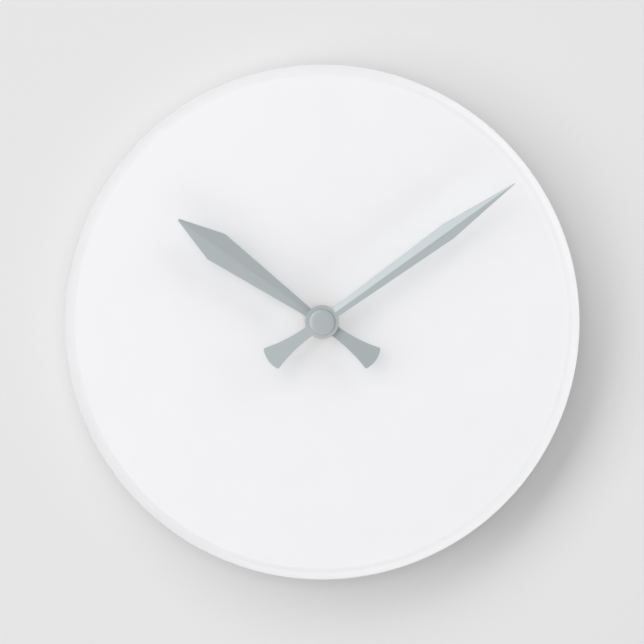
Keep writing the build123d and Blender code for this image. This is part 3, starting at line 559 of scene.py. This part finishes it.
def snapClip(side, height):
    long = clip["front"] - clip["rear"]
    middle = Vector((side * (caseHigh.x + clip["thick"] / 2), -(clip["front"] + clip["rear"]) / 2, height))
    bm = bmesh.new()
    bmesh.ops.create_cube(bm, size=1.0)
    bmesh.ops.scale(bm, verts=bm.verts[:], vec=(clip["thick"], long, clip["wide"]))
    broad = [face for face in bm.faces if abs(face.normal.x) > 0.5]
    bmesh.ops.inset_individual(bm, faces=broad, thickness=clip["frameWide"], use_even_offset=True)
    window = list({edge for face in broad for edge in face.edges})
    bmesh.ops.delete(bm, geom=broad, context="FACES_ONLY")
    bmesh.ops.bridge_loops(bm, edges=window)
    bmesh.ops.recalc_face_normals(bm, faces=bm.faces[:])
    breakEdges(bm, clip["edge"], clip["segments"], clip["sharp"])
    # the catch in the window has a sloping lead towards the rear
    catch = bmesh.ops.create_cube(bm, size=1.0)["verts"]
    room = 2 * (clip["frameWide"] + catchBlock["gap"])
    bmesh.ops.scale(bm, verts=catch, vec=(catchBlock["thick"], catchBlock["long"] * (long - room),
                                          clip["wide"] - room))
    lead = [vertex for vertex in catch if vertex.co.x * side > 0 and vertex.co.y > 0]
    bmesh.ops.translate(bm, verts=lead, vec=(-catchBlock["lead"] * side * catchBlock["thick"], 0.0, 0.0))
    bmesh.ops.translate(bm, verts=catch, vec=(side * (catchBlock["thick"] - clip["thick"]) / 2,
                                              catchBlock["back"] * long, 0.0))
    bmesh.ops.translate(bm, verts=bm.verts[:], vec=middle)
    return bm


for side, sideName in ((-1.0, "left"), (1.0, "right")):
    for count, height in enumerate(clip["heights"]):
        clipName = "snap_clip_" + sideName + "_" + str(count + 1)
        finishPiece(clipName, snapClip(side, height), "movement", "black_moulding")
print("snap clips fitted")

# setting knob, with a grip bar across it
knob = {"edge": 0.12 * mm, "segments": 2, "sharp": 30, "barLong": 6.4 * mm, "barWide": 1.3 * mm,
        "barHigh": 0.35 * mm, "barTurn": math.radians(35)}
bm = softCopy("setting_knob", knob["edge"], knob["segments"], knob["sharp"])
bar = bmesh.ops.create_cube(bm, size=1.0)["verts"]
bmesh.ops.scale(bm, verts=bar, vec=(knob["barLong"], 2 * knob["barHigh"], knob["barWide"]))
barSharp = list({edge for vertex in bar for edge in vertex.link_edges})
bmesh.ops.rotate(bm, verts=bar, cent=(0, 0, 0), matrix=Matrix.Rotation(knob["barTurn"], 3, "Y"))
bmesh.ops.translate(bm, verts=bar, vec=(knobCentre.x, knobHigh.y, knobCentre.z))
roundOff(bm, barSharp, knob["edge"], knob["segments"])
finishPiece("hand_setting_knob", bm, "setting_group", "white_moulding", "setting_knob")
print("knob made")

# battery: can with its nub and crimped base, and a shrunk sleeve
cell = {"lip": 0.18 * mm, "lipInner": 6.2 * mm, "nub": 2.75 * mm, "nubLong": 1.2 * mm,
        "nubRound": 0.35 * mm, "shoulder": 1.5 * mm, "shoulderSteps": 8, "baseRound": 0.4 * mm,
        "roundSteps": 4, "dish": 4.9 * mm, "dishDeep": 0.3 * mm, "groove": 0.35 * mm, "turns": 128}
canLow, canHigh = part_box("battery_can")
wrapLow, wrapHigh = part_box("battery_wrap")
cellAxis = (canLow + canHigh) / 2
canRadius = (canHigh.z - canLow.z) / 2
canBase, nubTop = canLow.x + cell["lip"], canHigh.x
canTop = nubTop - cell["nubLong"]
dishFloor, grooveFloor = canBase + cell["dishDeep"], canTop - cell["groove"]
bm = lathe([(0.0, dishFloor), (cell["dish"] - cell["dishDeep"], dishFloor), (cell["dish"], canBase),
            (canRadius, canBase), (canRadius, canTop), (cell["nub"] + 3 * cell["groove"], canTop),
            (cell["nub"] + 2 * cell["groove"], grooveFloor), (cell["nub"], grooveFloor),
            (cell["nub"], nubTop), (0.0, nubTop)], cell["turns"], closed=False)
roundOff(bm, ringEdges(bm, canRadius, canTop), cell["shoulder"], cell["shoulderSteps"])
roundOff(bm, ringEdges(bm, canRadius, canBase), cell["baseRound"], cell["roundSteps"])
roundOff(bm, ringEdges(bm, cell["nub"], nubTop), cell["nubRound"], cell["roundSteps"])
layAcross(bm, cellAxis)
finishPiece("cell_can", bm, "battery", "cell_steel", "battery_can")

sleeve = {"reach": 0.55 * mm, "film": 0.16 * mm, "base": (0.085, 0.125, 0.17), "band": (0.60, 0.61, 0.60),
          "bandStart": 0.74, "bandEnd": 0.80, "rough": (0.20, 0.30),
          "crinkle": (6 * mm, 1.5 * mm, 1.5 * mm), "crinkleHeight": 0.01 * mm,
          "baseRound": 0.35 * mm, "baseSteps": 4, "endRound": 0.3 * mm, "endSteps": 3}


def bandedSleeve():
    # a dark film with one pale band near the nub end
    finish, shader = newFinish("cell_sleeve_film", sleeve["base"], sleeve["rough"][0])
    along = addNode(finish, "ShaderNodeSeparateXYZ")
    fromBase = objectPlace(finish, cube(wrapHigh.x - wrapLow.x), at=(wrapLow.x, 0.0, 0.0))
    wire(finish, fromBase, along.inputs["Vector"])
    bands = addNode(finish, "ShaderNodeValToRGB")
    bands.color_ramp.interpolation = "CONSTANT"
    bands.color_ramp.elements[0].color = (*sleeve["base"], 1.0)
    bands.color_ramp.elements[1].position = sleeve["bandStart"]
    bands.color_ramp.elements[1].color = (*sleeve["band"], 1.0)
    bands.color_ramp.elements.new(sleeve["bandEnd"]).color = (*sleeve["base"], 1.0)
    wire(finish, along.outputs["X"], bands.inputs["Fac"])
    wire(finish, bands.outputs["Color"], shader.inputs["Base Color"])
    crinkle = noise(finish, sleeve["crinkle"], detail=3.0)
    wire(finish, spread(finish, crinkle, *sleeve["rough"]), shader.inputs["Roughness"])
    relief(finish, shader, crinkle, sleeve["crinkleHeight"])
    return finish


finishes["cell_sleeve"] = bandedSleeve()
wrapRadius, wrapEnd = (wrapHigh.z - wrapLow.z) / 2, wrapHigh.x
lipEnd = wrapEnd + sleeve["reach"]
bm = lathe([(cell["lipInner"], wrapLow.x), (wrapRadius, wrapLow.x), (wrapRadius, wrapEnd),
            (wrapRadius - sleeve["film"], lipEnd), (canRadius - 0.5 * sleeve["film"], lipEnd),
            (canRadius, wrapEnd), (canRadius, canBase), (cell["lipInner"], canBase)], cell["turns"])
roundOff(bm, ringEdges(bm, wrapRadius, wrapLow.x), sleeve["baseRound"], sleeve["baseSteps"])
roundOff(bm, ringEdges(bm, wrapRadius, wrapEnd), sleeve["endRound"], sleeve["endSteps"])
layAcross(bm, cellAxis)
finishPiece("cell_sleeve", bm, "battery", "cell_sleeve", "battery_wrap")

contactEdge = 0.07 * mm
for nodeName, pieceName in (("positive_contact", "positive_strip"), ("negative_contact", "negative_leaf")):
    finishPiece(pieceName, softCopy(nodeName, contactEdge), "movement", "nickel_strip", nodeName)
print("battery and contacts made")

# motor coil, wound turn by turn on its bobbin
winding = {"wire": 0.17 * mm, "pitch": 0.175 * mm, "inner": 2.9 * mm, "sides": 8, "turnSteps": 32,
           "coreSteps": 64}
coilLow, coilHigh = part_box("coil_winding")
coilRadius = (coilHigh.z - coilLow.z) / 2
layerRadius = coilRadius - winding["wire"]
halfWire = winding["wire"] / 2
bm = bmesh.new()
strand = bmesh.ops.create_circle(bm, segments=winding["sides"], radius=halfWire)["verts"]
bmesh.ops.translate(bm, verts=strand, vec=(coilRadius - halfWire, -coilLow.x - halfWire, 0.0))
coilTurns = int((coilHigh.x - coilLow.x - winding["wire"]) / winding["pitch"])
helix(bm, strand, winding["pitch"], coilTurns, winding["turnSteps"])
bmesh.ops.holes_fill(bm, edges=[edge for edge in bm.edges if edge.is_boundary], sides=winding["sides"])
bmesh.ops.recalc_face_normals(bm, faces=bm.faces[:])
joinTurned(bm, [(winding["inner"], coilLow.x), (layerRadius, coilLow.x), (layerRadius, coilHigh.x),
                (winding["inner"], coilHigh.x)], winding["coreSteps"])
layAcross(bm, (coilLow + coilHigh) / 2)
finishPiece("copper_coil", bm, "movement", "copper_wire", "coil_winding")
print("coil wound")

# CAD nodes, each with its slot's finish
slotOf = {subpart["node"]: subpart["material_slot"] for subpart in frame["record"]["subparts"]}
for nodeName, node in nodes.items():
    node.data.materials.clear()
    node.data.materials.append(finishes[slotOf[nodeName]])
print("finishes on the CAD nodes")

# wall, light and camera
wall = {"colour": (0.80, 0.80, 0.80), "rough": 0.9, "half": 4.0, "gap": 0.2 * mm}
bm = bmesh.new()
bmesh.ops.create_grid(bm, x_segments=1, y_segments=1, size=wall["half"])
bmesh.ops.rotate(bm, verts=bm.verts[:], cent=(0, 0, 0), matrix=Matrix.Rotation(math.pi / 2, 3, "X"))
bmesh.ops.translate(bm, verts=bm.verts[:], vec=(0, wall["gap"], 0))
wallMesh = bpy.data.meshes.new("wall")
bm.to_mesh(wallMesh)
bm.free()
wallFinish, wallShader = newFinish("wall_paint", wall["colour"], wall["rough"])
wallShader.inputs["Specular IOR Level"].default_value = 0.0
oneSided = addNode(wallFinish, "ShaderNodeMixShader")
clear = addNode(wallFinish, "ShaderNodeBsdfTransparent")
facing = addNode(wallFinish, "ShaderNodeNewGeometry")
wire(wallFinish, facing.outputs["Backfacing"], oneSided.inputs["Fac"])
wire(wallFinish, wallShader.outputs["BSDF"], oneSided.inputs[1])
wire(wallFinish, clear.outputs["BSDF"], oneSided.inputs[2])
wallSurface = wallFinish.node_tree.nodes["Material Output"].inputs["Surface"]
wire(wallFinish, oneSided.outputs["Shader"], wallSurface)
wallMesh.materials.append(wallFinish)
wallObject = bpy.data.objects.new("wall", wallMesh)
wallObject.visible_diffuse = False    # the wall is clear from behind, and the back is lit through it
wallObject.visible_shadow = False
bpy.context.scene.collection.objects.link(wallObject)

world = {"light": 0.36, "background": 0.80}
sky = bpy.data.worlds.new("studio")
bpy.context.scene.world = sky
sky.use_nodes = True
skyNodes = sky.node_tree.nodes
skyLight = skyNodes["Background"]
skyLight.inputs["Color"].default_value = (1.0, 1.0, 1.0, 1.0)
skyLight.inputs["Strength"].default_value = world["light"]
backdrop = skyNodes.new("ShaderNodeBackground")
backdrop.inputs["Color"].default_value = (1.0, 1.0, 1.0, 1.0)
backdrop.inputs["Strength"].default_value = world["background"]
rayKind = skyNodes.new("ShaderNodeLightPath")
chooser = skyNodes.new("ShaderNodeMixShader")
seen = rayKind.outputs["Is Camera Ray"]
for rayName in ("Is Glossy Ray", "Is Transmission Ray"):
    either = skyNodes.new("ShaderNodeMath")
    either.operation = "MAXIMUM"
    sky.node_tree.links.new(seen, either.inputs[0])
    sky.node_tree.links.new(rayKind.outputs[rayName], either.inputs[1])
    seen = either.outputs["Value"]
sky.node_tree.links.new(seen, chooser.inputs["Fac"])
sky.node_tree.links.new(skyLight.outputs["Background"], chooser.inputs[1])
sky.node_tree.links.new(backdrop.outputs["Background"], chooser.inputs[2])
sky.node_tree.links.new(chooser.outputs["Shader"], skyNodes["World Output"].inputs["Surface"])


# the wall, the disc and the other pieces have lamps of their own, as in a studio with flags
def litSet(name, objects, state):
    chosen = bpy.data.collections.new(name)
    for count, lit in enumerate(objects):
        chosen.objects.link(lit)
        chosen.collection_objects[count].light_linking.link_state = state
    return chosen


litSets = {
    "wall": litSet("lit wall", [wallObject], "INCLUDE"),
    "disc": litSet("lit disc", [dialObject], "INCLUDE"),
    "hands": litSet("lit hands and movement", [wallObject, dialObject], "EXCLUDE"),
}


def softBox(name, tiltDegrees, headingDegrees, distance, across, along, power, lit):
    # tilt is the angle from the dial's normal, heading the side it comes from (0 is right, 90 is up)
    tilt, heading = math.radians(tiltDegrees), math.radians(headingDegrees)
    side = Vector((math.cos(heading), 0.0, math.sin(heading)))
    away = side * math.sin(tilt) + Vector((0.0, -math.cos(tilt), 0.0))
    tangent = Vector((-math.sin(heading), 0.0, math.cos(heading)))
    lamp = bpy.data.lights.new(name, "AREA")
    lamp.shape = "RECTANGLE"
    lamp.size = across      # round the clock
    lamp.size_y = along     # towards and away from the wall
    lamp.energy = power
    lampObject = bpy.data.objects.new(name, lamp)
    lampObject.light_linking.receiver_collection = litSets[lit]
    turn = Matrix((tangent, away.cross(tangent), away)).transposed()
    lampObject.matrix_world = Matrix.Translation(away * distance) @ turn.to_4x4()
    bpy.context.scene.collection.objects.link(lampObject)


# tilt and heading in degrees, distance and the two sides of the lamp in metres, power in watts, lit set
lamps = {
    "wall_key": (40, 150, 6.0, 12.0, 3.9, 342.0, "wall"),
    "wall_fill": (0, 90, 4.0, 2.0, 2.0, 29.0, "wall"),
    "disc_key": (38, 150, 1.2, 1.5, 0.75, 4.0, "disc"),
    "disc_front": (0, 90, 4.0, 0.4, 0.4, 20.5, "disc"),
    "rim_upper_right": (72, 38, 3.5, 3.6, 1.6, 57.0, "disc"),
    "rim_right": (72, -28, 3.5, 3.6, 1.6, 18.0, "disc"),
    "rim_lower_right": (72, -80, 3.5, 3.6, 1.6, 50.0, "disc"),
    "rim_left": (72, 172, 2.0, 2.1, 0.9, 8.6, "disc"),
    "rim_upper_left": (72, 125, 2.0, 2.1, 0.9, 2.9, "disc"),
    "hand_key": (38, 164, 3.0, 3.7, 1.9, 49.5, "hands"),
    "hand_fill": (64, -66, 3.5, 5.0, 1.8, 53.0, "hands"),
    "rear_fill": (138, 125, 1.2, 0.8, 0.8, 6.5, "hands"),
    "rear_disc": (180, 90, 1.2, 0.8, 0.8, 4.8, "disc"),
}
for lampName, settings in lamps.items():
    softBox(lampName, *settings)

view = {"distance": 4.0, "frameWidth": 254.2 * mm, "sensor": 36.0}
camera = bpy.data.cameras.new("camera")
camera.sensor_width = view["sensor"]
camera.lens = view["sensor"] * view["distance"] / view["frameWidth"]
cameraObject = bpy.data.objects.new("camera", camera)
cameraObject.location = (0.0, -view["distance"] - dialBack, 0.0)
cameraObject.rotation_euler = (math.pi / 2, 0.0, 0.0)
bpy.context.scene.collection.objects.link(cameraObject)
bpy.context.scene.camera = cameraObject
bpy.context.scene.view_settings.view_transform = "Standard"
print("wall, lamps and camera in place")
